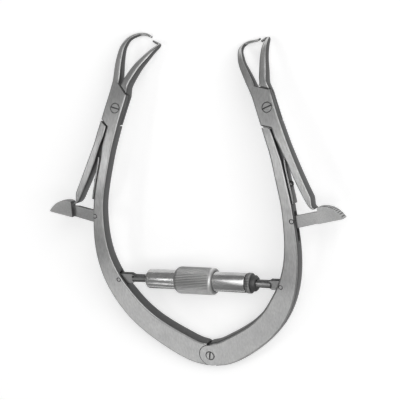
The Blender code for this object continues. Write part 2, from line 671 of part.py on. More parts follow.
def build_spindle(side, material):
    """Threaded rod whose outer end is a flat eye; the right eye is slotted along the rod."""
    name = side_name(side) + "_spindle"
    frame = axis_frame()
    eye_frame = frame @ Matrix.Rotation(-math.pi / 2, 4, "Y")
    radius, edge = SPINDLE_RADIUS, EDGE_BREAK
    eye_start = EYE_INNER_END[side]
    low, high = sorted((side * SPINDLE_INNER_TIP, side * (eye_start + 1.0 * MM)))
    profile = [(0.0, high), (radius - edge, high), (radius, high - edge), (radius, low + edge),
               (radius - edge, low), (0.0, low)]
    spindle = add_part(name, turned_mesh(name, profile, 24), material)
    spindle.matrix_local = frame
    half_height, half = SPINDLE_EYE_HEIGHT / 2, SPINDLE_EYE_THICKNESS / 2
    round_end = [(side * (SPINDLE_PIN_X + EYE_OUTER_REACH * math.sin(a)), half_height * math.cos(a))
                 for a in np.linspace(0.0, math.pi, 9)]
    outline = [(side * eye_start, -half_height), (side * (eye_start - 1.2 * MM), -radius * 0.8),
               (side * (eye_start - 1.2 * MM), radius * 0.8), (side * eye_start, half_height)] + round_end
    # flats above and below the eye, then the eye itself
    for sign in (-1, 1):
        flat_ends = (side * (eye_start - 0.2 * MM), side * 60.0 * MM)
        cut_box(spindle, name + "_flat_%d" % sign, eye_frame, flat_ends, (-4.0 * MM, 4.0 * MM),
                (sign * half, sign * 4.0 * MM))
    eye = add_cutter(name + "_eye", outline_mesh("eye", outline, -half, half))
    eye.matrix_local = eye_frame
    cut(spindle, eye, "UNION")
    play = EYE_SLOT_PLAY if side > 0 else (0.0, 0.0)
    hole = slot_outline(side * SPINDLE_PIN_X, play, SPINDLE_PIN_RADIUS + RUNNING_GAP)
    slot = add_cutter(name + "_hole", outline_mesh("hole", hole, -4.0 * MM, 4.0 * MM))
    slot.matrix_local = eye_frame
    cut(spindle, slot)
    return spindle


def slot_outline(centre, play, radius):
    """Outline of a slot with round ends that runs from play[0] to play[1] either side of its centre."""
    right = [(centre + play[1] + radius * math.cos(a), radius * math.sin(a))
             for a in np.linspace(-math.pi / 2, math.pi / 2, 11)]
    left = [(centre + play[0] - radius * math.cos(a), -radius * math.sin(a))
            for a in np.linspace(-math.pi / 2, math.pi / 2, 11)]
    if play[0] == play[1]:
        left = left[1:-1]
    return right + left


def build_barrel(material):
    """Turned tube with a rounded left end; bored through for both threads."""
    r, rounding = BARREL_RADIUS, BARREL_ROUNDING
    bore = SPINDLE_RADIUS + FACE_GAP
    left_arc = [(r - rounding + rounding * math.sin(a), BARREL_LEFT + rounding - rounding * math.cos(a))
                for a in np.linspace(0.0, math.pi / 2, 6)]
    right_end = [(r, BARREL_RIGHT - EDGE_BREAK), (r - EDGE_BREAK, BARREL_RIGHT), (bore, BARREL_RIGHT)]
    profile = [(bore, BARREL_LEFT)] + left_arc + right_end
    barrel = add_part("turnbuckle_barrel", turned_ring_mesh("turnbuckle_barrel", profile), material)
    barrel.matrix_local = axis_frame()
    return barrel


def turned_ring_mesh(name, profile, facets=40):
    """Closed ring of revolution about Z from a closed profile that stays off the axis."""
    mesh = bpy.data.meshes.new(name)
    bm = bmesh.new()
    rows = []
    for i in range(facets):
        angle = math.tau * i / facets
        rows.append([bm.verts.new((radius * math.cos(angle), radius * math.sin(angle), z))
                     for radius, z in profile])
    count = len(rows[0])
    for i in range(facets):
        following = rows[(i + 1) % facets]
        for k in range(count):
            m = (k + 1) % count
            bm.faces.new((rows[i][k], rows[i][m], following[m], following[k]))
    if bm.calc_volume(signed=True) < 0.0:
        bmesh.ops.reverse_faces(bm, faces=bm.faces)
    bm.to_mesh(mesh)
    bm.free()
    return mesh


def build_grip(material):
    """Grip fixed on the barrel, rounded at its left end and chamfered at its right."""
    bore = BARREL_RADIUS + FACE_GAP
    r, rounding = bore + GRIP_WALL, GRIP_ROUNDING
    face_angle = math.asin(max(0.0, 1.0 - (GRIP_WALL - GRIP_FACE) / rounding))
    left_arc = [(r - rounding + rounding * math.sin(a), GRIP_LEFT + rounding - rounding * math.cos(a))
                for a in np.linspace(face_angle, math.pi / 2, 6)]
    right_end = [(r, GRIP_RIGHT - GRIP_CHAMFER), (r - GRIP_CHAMFER, GRIP_RIGHT), (bore, GRIP_RIGHT)]
    profile = [(bore, left_arc[0][1])] + left_arc + right_end
    grip = add_part("knurled_grip", turned_ring_mesh("knurled_grip", profile, 48), material)
    grip.matrix_local = axis_frame()
    return grip


def build_nut(material):
    """Knurled lock nut against the right end of the barrel, chamfered towards the thread."""
    bore = SPINDLE_RADIUS + FACE_GAP
    low = BARREL_RIGHT + FACE_GAP
    high = low + NUT_LENGTH
    r = BARREL_RADIUS + NUT_STEP
    profile = [(bore, low), (r - EDGE_BREAK, low), (r, low + EDGE_BREAK), (r, high - NUT_CHAMFER),
               (r - 1.1 * MM, high), (bore, high)]
    nut = add_part("lock_nut", turned_ring_mesh("lock_nut", profile, 40), material)
    nut.matrix_local = axis_frame()
    return nut


def lowest_along(points, lean, front):
    """Point that meets the table first, among the front half or the rear half, for a given lean."""
    ys, zs = points[:, 1], points[:, 2]
    middle = 0.5 * (ys.min() + ys.max())
    chosen = points[ys > middle] if front else points[ys <= middle]
    heights = chosen[:, 1] * math.sin(lean) + chosen[:, 2] * math.cos(lean)
    return chosen[np.argmin(heights)]


def stand_on_table():
    """Lean the instrument so that its hinge end and its jaw tips meet the table, centred over the origin."""
    bpy.context.view_layer.update()
    graph = bpy.context.evaluated_depsgraph_get()
    clouds = []
    for part in parts.objects:
        mesh = part.evaluated_get(graph).to_mesh()
        flat = np.empty(len(mesh.vertices) * 3)
        mesh.vertices.foreach_get("co", flat)
        matrix = np.array(part.matrix_world)
        clouds.append(flat.reshape(-1, 3) @ matrix[:3, :3].T + matrix[:3, 3])
    points = np.vstack(clouds)
    lean = 0.0
    for _ in range(6):
        rear, front = lowest_along(points, lean, False), lowest_along(points, lean, True)
        lean = math.atan2(rear[2] - front[2], front[1] - rear[1])
    turned = points @ np.array(Matrix.Rotation(lean, 3, "X")).T
    low, high = turned.min(axis=0), turned.max(axis=0)
    instrument.rotation_euler = (lean, 0.0, 0.0)
    instrument.location = (-(low[0] + high[0]) / 2, -(low[1] + high[1]) / 2, -low[2])
    bpy.context.view_layer.update()


def main():
    global parts, cutters, instrument
    clear_scene()
    parts = new_collection("self_retaining_retractor")
    cutters = new_collection("cutters")
    instrument = bpy.data.objects.new("instrument", None)
    bpy.context.scene.collection.objects.link(instrument)

    satin = steel("satin_steel", 0.62, 0.34)
    bright = steel("polished_steel", 0.68, 0.22)
    spring_steel = steel("spring_steel", 0.55, 0.30)
    knurled = steel("knurled_steel", 0.56, 0.42)

    for side in (-1, 1):
        name = side_name(side)
        build_arm(side, satin)
        build_lever(side, satin)
        slotted_screw(name + "_clamp_screw", pivot_frame(side), PIVOT_HEAD_RADIUS, PIVOT_SHANK_RADIUS,
                      STEEL_THICKNESS - 0.1 * MM, CLAMP_SLOT_TURN[side], bright)
        build_latch(side, satin)
        build_pin(name + "_latch_pin", local_frame(side * LATCH_PIN_X, LATCH_PIN_S), LATCH_PIN_RADIUS, bright)
        build_spring(side, spring_steel)
        build_spring_screw(side, bright)
        build_spindle(side, bright)
        build_pin(name + "_spindle_pin", spindle_frame(side * SPINDLE_PIN_X), SPINDLE_PIN_RADIUS, bright)
    slotted_screw("hinge_screw", Matrix.Identity(4), HINGE_HEAD_RADIUS, HINGE_SHANK_RADIUS,
                  STEEL_THICKNESS - 0.1 * MM, HINGE_SLOT_TURN, bright)
    build_barrel(bright)
    build_grip(knurled)
    build_nut(knurled)
    stand_on_table()


main()
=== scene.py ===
# %% [markdown]
# # A self-retaining retractor in satin steel
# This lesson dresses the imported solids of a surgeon's retractor. Two bowed arms turn on one hinge, a
# turnbuckle holds them apart, and the end of each arm carries a small clamp with its lever and its latch.
# The solids already have the right size and joints, so nothing here moves them. What they lack is the fine
# surface: brushed faces, dark ground edges, knurled grips and screw threads. Each finished piece rides on
# the body it belongs to, so the dressed instrument still opens and closes.

# %% Load the solids
import json
import math

import bmesh
import bpy
import numpy as np
from mathutils import Matrix, Vector


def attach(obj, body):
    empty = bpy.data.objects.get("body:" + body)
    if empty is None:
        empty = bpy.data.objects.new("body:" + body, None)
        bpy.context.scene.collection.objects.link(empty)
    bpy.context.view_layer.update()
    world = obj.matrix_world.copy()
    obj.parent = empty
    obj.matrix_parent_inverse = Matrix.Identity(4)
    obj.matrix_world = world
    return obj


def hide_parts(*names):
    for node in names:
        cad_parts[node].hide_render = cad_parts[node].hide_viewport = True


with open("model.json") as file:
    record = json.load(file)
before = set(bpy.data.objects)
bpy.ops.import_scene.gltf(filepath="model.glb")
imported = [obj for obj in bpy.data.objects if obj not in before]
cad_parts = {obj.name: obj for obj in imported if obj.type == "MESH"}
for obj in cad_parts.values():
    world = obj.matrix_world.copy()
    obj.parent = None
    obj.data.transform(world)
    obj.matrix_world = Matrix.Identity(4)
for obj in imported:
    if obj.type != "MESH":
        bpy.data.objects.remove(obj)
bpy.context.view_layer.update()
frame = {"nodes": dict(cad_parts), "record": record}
MM = 0.001
MERGE_DISTANCE = 0.0005 * MM
behaviour = frame["record"]["behaviour"]
joints = {joint["name"]: joint for joint in behaviour["joints"]}
body_of = {node: body for body, nodes in behaviour["bodies"].items() for node in nodes}

# %% [markdown]
# ## Where the instrument lies
# The arms were cut from one bowed strip. The strip is flat from the hinge to the turnbuckle and then bows
# away, and the whole instrument stands on its hinge end and its jaw tips, so the strip leans. The hinge axis
# is square to the flat end, which gives the lean without measuring anything. Knowing the bow, the way the
# front face looks at any place is known too, and that tells a front face from a side wall.

# %% The lean and the bow of the strip
BOW_START = 32.9 * MM
BOW_RADIUS = 188.0 * MM
JAW_START = 58.0 * MM
hinge_place = np.array(joints["frame_spread"]["pos_m"])
hinge_axis = -np.array(joints["frame_spread"]["axis"])
LEAN = math.atan2(-hinge_axis[1], hinge_axis[2])


def front_normal(points):
    """Direction the front face looks at each point: square to the flat strip, then along the bow's radius."""
    away = points - hinge_place
    along = away[:, 1] * math.cos(LEAN) + away[:, 2] * math.sin(LEAN)
    down = -away[:, 1] * math.sin(LEAN) + away[:, 2] * math.cos(LEAN)
    angle = np.arctan2(np.maximum(along - BOW_START, 0.0), down + BOW_RADIUS) - LEAN
    return np.stack([np.zeros_like(angle), np.sin(angle), np.cos(angle)], axis=1)


print("lean of the flat end: %.1f degrees" % math.degrees(LEAN))

# %% [markdown]
# ## Materials
# The real instrument is stainless steel in a satin finish. Its faces were ground flat and brushed along the
# arm, so their gloss is soft and a little uneven, and its side walls and edge bevels are painted darker, as
# painted shade. A flat grey would look like plastic. Three noise patterns on Object coordinates make the
# face: a wide one moves the grey and the roughness as handling does, a fine long one is the brush marks, and
# a very fine one is the grain. The painted shade follows an attribute that the pieces carry.

# %% A steel finish with painted shade on its side walls
WEAR_SCALE = 70.0
WEAR_SHADES = ((0.80, 0.80, 0.80), (1.05, 1.05, 1.04))
NOISE_RANGE = (0.3, 0.7)
GLOSS_SHARES = (0.85, 1.18)
GRAIN_SIZE = 0.6 * MM
GRAIN_TONE = 0.10
BRUSH_STRENGTH = 0.4
WALL_ROUGHER = 0.22


def noise(tree, place, scale, detail, stretch=(1.0, 1.0, 1.0)):
    """Noise on Object coordinates that a mapping stretches along an axis; returns its output."""
    turn = tree.nodes.new("ShaderNodeMapping")
    turn.inputs["Scale"].default_value = stretch
    tree.links.new(place.outputs["Object"], turn.inputs["Vector"])
    pattern = tree.nodes.new("ShaderNodeTexNoise")
    pattern.inputs["Scale"].default_value = scale
    pattern.inputs["Detail"].default_value = detail
    tree.links.new(turn.outputs["Vector"], pattern.inputs["Vector"])
    return pattern.outputs["Fac"]


def spread(tree, value, source, target):
    """Carry a value from the source range to the target range."""
    change = tree.nodes.new("ShaderNodeMapRange")
    change.inputs["From Min"].default_value, change.inputs["From Max"].default_value = source
    change.inputs["To Min"].default_value, change.inputs["To Max"].default_value = target
    tree.links.new(value, change.inputs["Value"])
    return change.outputs["Result"]


def colour_socket(sockets, name):
    """The socket of a Mix node that carries a colour; its float and vector twins share the name."""
    return next(socket for socket in sockets if socket.name == name and socket.type == "RGBA")


def grained_tone(tree, place, wear, face_grey, stretch):
    """Grey that the wear moves between two shades, times a fine grain around 1."""
    shades = tree.nodes.new("ShaderNodeValToRGB")
    for element, position, share in zip(shades.color_ramp.elements, NOISE_RANGE, WEAR_SHADES):
        element.position = position
        element.color = [face_grey * channel for channel in share] + [1.0]
    tree.links.new(wear, shades.inputs["Fac"])
    grain = noise(tree, place, 1.0 / GRAIN_SIZE, 2.0, stretch)
    grained = tree.nodes.new("ShaderNodeVectorMath")
    grained.operation = "SCALE"
    tree.links.new(shades.outputs["Color"], grained.inputs[0])
    factor = spread(tree, grain, NOISE_RANGE, (1.0 - GRAIN_TONE, 1.0 + GRAIN_TONE))
    tree.links.new(factor, grained.inputs["Scale"])
    return grained.outputs["Vector"]


def steel(name, face_grey, painted_shade_grey, roughness, brush_size, brush_height, stretch=(1.0, 1.0, 1.0)):
    """Metal whose grey wanders a little, falls to a darker painted shade grey where the painted shade
    attribute is 1, and has a brushed grain.
    """
    material = bpy.data.materials.new(name)
    material.use_nodes = True
    tree = material.node_tree
    nodes, links = tree.nodes, tree.links
    shader = nodes["Principled BSDF"]
    shader.inputs["Metallic"].default_value = 1.0
    place = nodes.new("ShaderNodeTexCoord")
    wear = noise(tree, place, WEAR_SCALE, 4.0)
    # Painted shade: where this attribute is 1, the grey is blended down to a darker grey.
    wall = nodes.new("ShaderNodeAttribute")
    wall.attribute_name = "painted_shade"

    blend = nodes.new("ShaderNodeMix")
    blend.name = "painted shade blend"
    blend.data_type = "RGBA"
    tone = grained_tone(tree, place, wear, face_grey, stretch)
    links.new(tone, colour_socket(blend.inputs, "A"))
    colour_socket(blend.inputs, "B").default_value = (painted_shade_grey, painted_shade_grey, painted_shade_grey, 1.0)
    links.new(wall.outputs["Fac"], blend.inputs["Factor"])
    links.new(colour_socket(blend.outputs, "Result"), shader.inputs["Base Color"])

    rougher = nodes.new("ShaderNodeMath")
    rougher.operation = "MULTIPLY_ADD"
    rougher.inputs[1].default_value = WALL_ROUGHER
    links.new(wall.outputs["Fac"], rougher.inputs[0])
    gloss = spread(tree, wear, (0.0, 1.0), [roughness * share for share in GLOSS_SHARES])
    links.new(gloss, rougher.inputs[2])
    links.new(rougher.outputs["Value"], shader.inputs["Roughness"])

    bump = nodes.new("ShaderNodeBump")
    bump.inputs["Strength"].default_value = BRUSH_STRENGTH
    bump.inputs["Distance"].default_value = brush_height
    links.new(noise(tree, place, 1.0 / brush_size, 3.0, stretch), bump.inputs["Height"])
    links.new(bump.outputs["Normal"], shader.inputs["Normal"])
    return material


print("grain %.1f mm, tone within %.0f%%" % (GRAIN_SIZE / MM, 100 * GRAIN_TONE))

# %% [markdown]
# The outer rims of the two thumb pieces are cut with fine ridges for a wet glove. They could be modelled one
# by one, but a ridge is under a millimetre wide, so a wave across X does it, as a bump and as stripes of
# painted shade, kept to the rim by an attribute.

# %% Ridges for the thumb pieces
RIDGE_PITCH = 0.9 * MM
RIDGE_HEIGHT = 0.3 * MM
WAVES_PER_UNIT = 20.0 / math.tau  # of a wave texture whose scale is 1


def add_ridges(material):
    """Cut fine ridges across X where the piece's serrated attribute is 1, as a bump and as stripes of painted
    shade: the rim's painted shade is lifted on each crest.
    """
    nodes, links = material.node_tree.nodes, material.node_tree.links
    shader = nodes["Principled BSDF"]
    place = nodes.new("ShaderNodeTexCoord")
    ridge = nodes.new("ShaderNodeTexWave")
    ridge.inputs["Scale"].default_value = 1.0 / (WAVES_PER_UNIT * RIDGE_PITCH)
    links.new(place.outputs["Object"], ridge.inputs["Vector"])
    where = nodes.new("ShaderNodeAttribute")
    where.attribute_name = "serrated"
    amount = nodes.new("ShaderNodeMath")
    amount.operation = "MULTIPLY"
    links.new(ridge.outputs["Fac"], amount.inputs[0])
    links.new(where.outputs["Fac"], amount.inputs[1])
    factor = nodes["painted shade blend"].inputs["Factor"]
    # Painted highlight and shade: the rim's painted shade is taken away on each ridge crest, so the ridges
    # show as light and dark stripes.
    lighter = nodes.new("ShaderNodeMath")
    lighter.operation = "SUBTRACT"
    lighter.use_clamp = True
    links.new(factor.links[0].from_socket, lighter.inputs[0])
    links.new(amount.outputs["Value"], lighter.inputs[1])
    links.new(lighter.outputs["Value"], factor)
    under = shader.inputs["Normal"].links[0].from_socket
    bump = nodes.new("ShaderNodeBump")
    bump.inputs["Distance"].default_value = RIDGE_HEIGHT
    links.new(amount.outputs["Value"], bump.inputs["Height"])
    links.new(under, bump.inputs["Normal"])
    links.new(bump.outputs["Normal"], shader.inputs["Normal"])
    return material


# %% [markdown]
# Each piece was finished by its own tool. The arms and levers are brushed, the screws and barrel are
# turned, and the threads are painted dark, as painted shade between their crests. So each has its own grey
# and gloss.

# %% The finishes
finishes = {
    "satin_steel": steel("satin steel", 0.60, 0.13, 0.34, 0.35 * MM, 0.02 * MM, (1.0, 0.2, 1.0)),
    "polished_steel": steel("turned steel", 0.60, 0.14, 0.34, 0.30 * MM, 0.01 * MM, (0.2, 1.0, 1.0)),
    "knurled_steel": steel("knurled steel", 0.78, 0.30, 0.36, 0.30 * MM, 0.01 * MM),
    "serrated_steel": add_ridges(steel("serrated steel", 0.58, 0.15, 0.34, 0.35 * MM, 0.02 * MM)),
    "barrel_steel": steel("barrel steel", 0.56, 0.20, 0.24, 0.30 * MM, 0.01 * MM, (0.2, 1.0, 1.0)),
    "nut_steel": steel("nut steel", 0.46, 0.12, 0.36, 0.30 * MM, 0.01 * MM),
    "spindle_steel": steel("spindle steel", 0.42, 0.10, 0.40, 0.30 * MM, 0.01 * MM),
    # The thread's dark grey and its near-black valley grey are painted shade between its crests.
    "thread_steel": steel("thread steel", 0.34, 0.03, 0.38, 0.30 * MM, 0.01 * MM),
    "spring_steel": steel("spring steel", 0.40, 0.16, 0.30, 0.30 * MM, 0.01 * MM, (1.0, 0.2, 1.0)),
}
print("finishes:", [finish.name for finish in finishes.values()])

# %% [markdown]
# ## Smooth copies of the solids
# A imported solid is loose triangles, so each one shows as a flat facet. Every solid is copied, its corner
# points are merged, and its faces are shaded smooth wherever two of them meet at a gentle angle. Round a
# screw hole the triangles are long and thin, and shading averaged over them would show smears. So every
# corner of a front or back face takes the direction that the bowed strip has there, worked out from its
# radius. Each face also learns whether it is a front face or a side wall.

# %% Copy a solid, paint shade on its side walls and smooth its shading
FLAT_ENOUGH = 0.99
WALL_BEGINS = 0.97
WALL_FADE = 0.14
THUMB_START = 61.0 * MM
SLOT_SHADE = 0.15 * MM


def face_arrays(mesh):
    """Each face's direction and centre, as two arrays of rows."""
    directions = np.empty(len(mesh.polygons) * 3)
    centres = np.empty(len(mesh.polygons) * 3)
    mesh.polygons.foreach_get("normal", directions)
    mesh.polygons.foreach_get("center", centres)
    return directions.reshape(-1, 3), centres.reshape(-1, 3)


def wall_amount(mesh):
    """0 on faces that look the way the front or back does and 1 on side walls, by each face's direction."""
    normals, centres = face_arrays(mesh)
    facing = np.abs(np.sum(normals * front_normal(centres), axis=1))
    jaw_facing = np.sqrt(np.maximum(0.0, 1.0 - normals[:, 0] ** 2))
    facing = np.where(centres[:, 1] > JAW_START, jaw_facing, facing)
    return np.clip((WALL_BEGINS - facing) / WALL_FADE, 0.0, 1.0)


def store_painted_shade(mesh, amount):
    """Keep one painted shade value for each face."""
    layer = mesh.attributes.new("painted_shade", "FLOAT", "FACE")
    layer.data.foreach_set("value", np.asarray(amount, np.float32))


# %% [markdown]
# Every finished mesh enters the scene in one way: it takes its finish, rides on its body and stands for the
# solids that it replaces.

# %% Show a finished mesh
def show(name, mesh, material_slot, body, nodes=(), finish=None):
    """Put a finished mesh in the scene, on its body, in place of the solids it replaces."""
    mesh.materials.clear()
    mesh.materials.append(finishes[finish or material_slot])
    piece = bpy.data.objects.new(name, mesh)
    bpy.context.scene.collection.objects.link(piece)
    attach(piece, body)
    if nodes:
        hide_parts(*nodes)
    return piece


def merged_copy(node):
    """The solid's mesh with its loose triangles joined at their corners."""
    mesh = frame["nodes"][node].data.copy()
    mesh.name = node + "_skin"
    build = bmesh.new()
    build.from_mesh(mesh)
    bmesh.ops.remove_doubles(build, verts=build.verts, dist=MERGE_DISTANCE)
    build.to_mesh(mesh)
    build.free()
    return mesh


# %% [markdown]
# A screw hole leaves long thin triangles around it, and a slot in a screw is only half a millimetre wide. The
# next helpers keep the faces clean round the holes, paint shade into the slots and mark the rims.

# %% Directions, slots and rims
def face_the_strip(mesh):
    """Give each corner of a front or back face the strip's own direction there; the other corners stay."""
    directions, centres = face_arrays(mesh)
    side = np.sum(directions * front_normal(centres), axis=1)
    on_strip = (np.abs(side) > FLAT_ENOUGH) & (centres[:, 1] < JAW_START)
    corners = np.empty(len(mesh.loops), int)
    places = np.empty(len(mesh.vertices) * 3)
    mesh.loops.foreach_get("vertex_index", corners)
    mesh.vertices.foreach_get("co", places)
    sizes = np.empty(len(mesh.polygons), int)
    mesh.polygons.foreach_get("loop_total", sizes)
    amount = np.repeat(np.sign(side) * on_strip, sizes)[:, None]
    mesh.normals_split_custom_set((front_normal(places.reshape(-1, 3)[corners]) * amount).tolist())


def slot_amount(mesh):
    """1 where a screw's face lies deeper than SLOT_SHADE under its head's top, so that its slot is painted
    dark, as painted shade.
    """
    centres = face_arrays(mesh)[1]
    looks = front_normal(centres.mean(axis=0)[None, :])[0]
    height = centres @ looks
    return np.clip((height.max() - height) / SLOT_SHADE - 0.5, 0.0, 1.0)


def serrate(mesh):
    """Mark the outer rim of a thumb piece: side walls beyond THUMB_START that look away from the hinge."""
    directions, centres = face_arrays(mesh)
    rim = (np.abs(centres[:, 0]) > THUMB_START) & (directions[:, 1] > 0.1)
    layer = mesh.attributes.new("serrated", "FLOAT", "FACE")
    layer.data.foreach_set("value", (rim * wall_amount(mesh)).astype(np.float32))


# %% Dress every solid that keeps its own shape
def dress(node, material_slot, mesh=None, finish=None, edge_angle=34.0):
    """Shown copy of a solid, shaded smooth except at its real edges."""
    mesh = mesh or merged_copy(node)
    # Painted shade: side walls and edge bevels are painted darker by this amount, and screw slots are too.
    amount = wall_amount(mesh)
    if node.endswith("_screw"):
        amount = np.maximum(amount, slot_amount(mesh))
    if node == "turnbuckle_barrel":
        amount[:] = 0.0
    store_painted_shade(mesh, amount)
    if finish == "serrated_steel":
        serrate(mesh)
    mesh.shade_smooth()
    mesh.set_sharp_from_angle(angle=math.radians(edge_angle))
    if node != "turnbuckle_barrel":
        face_the_strip(mesh)
    return show(node + "_skin", mesh, material_slot, body_of[node], [node], finish)


slots = {entry["node"]: entry["material_slot"] for entry in frame["record"]["subparts"]}
made_by_formula = {"knurled_grip", "lock_nut", "left_spindle", "right_spindle"}
special_finish = {
    "left_latch": "serrated_steel",
    "right_latch": "serrated_steel",
    "turnbuckle_barrel": "barrel_steel",
}
for node, material_slot in slots.items():
    if node not in made_by_formula:
        dress(node, material_slot, finish=special_finish.get(node))
print("dressed", len(slots) - len(made_by_formula), "solids")

# %% [markdown]
# ## Turned pieces on the turnbuckle's line
# The grip, the lock nut and the two threads are round about one line, the turnbuckle's. A lathe makes such a
# piece from a profile, and a formula does the same: each point of the profile goes round the line, and its
# radius may change a little with the angle. A straight knurl is a radius that ripples many times a turn. A
# thread is a radius that ripples along the line, and whose ripple moves on by one pitch with each turn.

# %% A profile turned about the turnbuckle's line
TURNED_EDGE_ANGLE = 60.0
axis_place = np.array(joints["turnbuckle_spin"]["pos_m"])


def turned_mesh(name, along, radius, closed):
    """Mesh of a grid of radii: rows go round the line, columns follow the profile.

    along holds the place of each profile point on the line and radius the distance from it, with one row for
    each angle. The point at angle a is the line's place plus radius times (cos a, sin a) across it. A closed
    profile makes a ring with a bore, and an open one ends on the line at both ends.
    """
    turns, points = radius.shape
    angle = np.linspace(0.0, math.tau, turns, endpoint=False)[:, None]
    grid = np.empty((turns, points, 3))
    grid[:, :, 0] = along
    grid[:, :, 1] = axis_place[1] + radius * np.cos(angle)
    grid[:, :, 2] = axis_place[2] + radius * np.sin(angle)
    row, column = np.meshgrid(np.arange(turns), np.arange(points if closed else points - 1), indexing="ij")
    next_row, next_column = (row + 1) % turns, (column + 1) % points
    faces = np.stack([row * points + column, next_row * points + column,
                      next_row * points + next_column, row * points + next_column], axis=-1).reshape(-1, 4)
    mesh = bpy.data.meshes.new(name)
    mesh.from_pydata(grid.reshape(-1, 3).tolist(), [], faces.tolist())
    build = bmesh.new()
    build.from_mesh(mesh)
    bmesh.ops.remove_doubles(build, verts=build.verts, dist=MERGE_DISTANCE)
    bmesh.ops.recalc_face_normals(build, faces=build.faces)
    build.to_mesh(mesh)
    build.free()
    return mesh


def finish_turned(mesh, crest, depth):
    """Shade a turned piece smooth, and paint it darker by how far each point lies below the crest, in shares
    of depth, as painted shade in the knurl and thread valleys.
    """
    places = np.empty(len(mesh.vertices) * 3)
    mesh.vertices.foreach_get("co", places)
    reach = np.linalg.norm(places.reshape(-1, 3)[:, 1:] - axis_place[1:], axis=1)
    # Painted shade: points below the crest, in the valleys of knurls and threads, are painted darker.
    layer = mesh.attributes.new("painted_shade", "FLOAT", "POINT")
    layer.data.foreach_set("value", np.clip((crest - reach) / depth, 0.0, 1.0).astype(np.float32))
    mesh.shade_smooth()
    mesh.set_sharp_from_angle(angle=math.radians(TURNED_EDGE_ANGLE))
    return mesh


# %% [markdown]
# ## The knurled grip and the lock nut
# Straight knurls are rolled in with a toothed wheel: the teeth are even, run along the part and fade out
# where the end is rounded over. The grip has fifty of them, and the lock nut, which is smaller, has
# fewer. Their crests stay on the solid's own surface and the valleys go into it.

# %% Knurled rings
KNURL_FADE = 0.5 * MM


def knurled_ring(name, profile, teeth, depth, first, last, samples=8):
    """Ring with a bore whose radius dips by depth between the teeth, from first to last along the line.

    The dip is depth times the squared sine of half the tooth angle, times a fade that is 1 between first and
    last and falls to 0 within half a millimetre beyond them.
    """
    along, radius = np.array(profile).T
    angle = np.linspace(0.0, math.tau, teeth * samples, endpoint=False)[:, None]
    fade_in = np.clip((along - first) / KNURL_FADE + 1.0, 0.0, 1.0)
    fade_out = np.clip((last - along) / KNURL_FADE + 1.0, 0.0, 1.0)
    outside = radius > 0.9 * radius.max()
    dip = depth * np.sin(0.5 * teeth * angle) ** 2 * fade_in * fade_out * outside
    return finish_turned(turned_mesh(name, along, radius - dip, True), radius.max(), 1.2 * depth)


def rounded_corner(centre_along, centre_radius, radius, start, end, steps=7):
    """Arc of profile points, with angles measured from the line's direction towards the outside."""
    return [(centre_along + radius * math.cos(a), centre_radius + radius * math.sin(a))
            for a in np.linspace(math.radians(start), math.radians(end), steps)]


BARREL_RADIUS = 4.8 * MM
GRIP_LEFT, GRIP_RIGHT = -12.0 * MM, 8.5 * MM
GRIP_RADIUS, GRIP_ROUNDING, GRIP_CHAMFER = 6.6 * MM, 2.4 * MM, 0.9 * MM
GRIP_BORE = BARREL_RADIUS + 0.3 * MM
left_end = rounded_corner(GRIP_LEFT + GRIP_ROUNDING, GRIP_RADIUS - GRIP_ROUNDING, GRIP_ROUNDING, 150.0, 90.0)
straight = np.linspace(GRIP_LEFT + GRIP_ROUNDING + 0.8 * MM, GRIP_RIGHT - 2.4 * MM, 5)
middle = [(x, GRIP_RADIUS) for x in straight]
right_end = [(GRIP_RIGHT - 1.6 * MM, GRIP_RADIUS), (GRIP_RIGHT - GRIP_CHAMFER, GRIP_RADIUS),
             (GRIP_RIGHT, GRIP_RADIUS - GRIP_CHAMFER), (GRIP_RIGHT, GRIP_BORE)]
grip_profile = [(left_end[0][0], GRIP_BORE)] + left_end + middle + right_end
grip_ends = (GRIP_LEFT + 1.0 * MM, GRIP_RIGHT - 1.9 * MM)
grip = knurled_ring("knurled_grip_skin", grip_profile, 50, 0.42 * MM, *grip_ends)
show("knurled_grip_skin", grip, "knurled_steel", body_of["knurled_grip"], ["knurled_grip"])

NUT_LEFT, NUT_RIGHT, NUT_RADIUS, NUT_BORE = 25.1 * MM, 30.2 * MM, 4.95 * MM, 2.3 * MM
nut_profile = [(NUT_LEFT, NUT_BORE), (NUT_LEFT, NUT_RADIUS - 0.5 * MM), (NUT_LEFT + 0.4 * MM, NUT_RADIUS),
               (NUT_LEFT + 1.2 * MM, NUT_RADIUS), (NUT_LEFT + 2.2 * MM, NUT_RADIUS),
               (NUT_LEFT + 2.6 * MM, NUT_RADIUS - 0.5 * MM), (NUT_LEFT + 2.7 * MM, NUT_RADIUS - 1.0 * MM),
               (NUT_LEFT + 4.3 * MM, NUT_RADIUS - 1.1 * MM), (NUT_RIGHT, NUT_RADIUS - 1.8 * MM),
               (NUT_RIGHT, NUT_BORE)]
nut = knurled_ring("lock_nut_skin", nut_profile, 38, 0.36 * MM, NUT_LEFT + 0.4 * MM, NUT_LEFT + 2.2 * MM)
show("lock_nut_skin", nut, "knurled_steel", body_of["lock_nut"], ["lock_nut"], "nut_steel")
print("knurled rings:", len(grip.polygons), "and", len(nut.polygons), "faces")

# %% [markdown]
# ## The threaded spindles
# Each spindle is an M4 rod whose outer end is forged flat into an eye. One thread is right-handed and the
# other left-handed, which is why one turn of the barrel draws both arms in or pushes both out. The solids
# have plain rods, so the rod of each copy is turned down to the thread's core and the thread is put on it.

# %% Threads of opposite hand
PITCH = 0.7 * MM
THREAD_RADIUS, THREAD_DEPTH = 2.0 * MM, 0.40 * MM
THREAD_START = 19.0 * MM
POINTS_PER_PITCH, POINTS_ROUND = 10, 40
THREAD_END = {-1: 35.0 * MM, 1: 36.3 * MM}


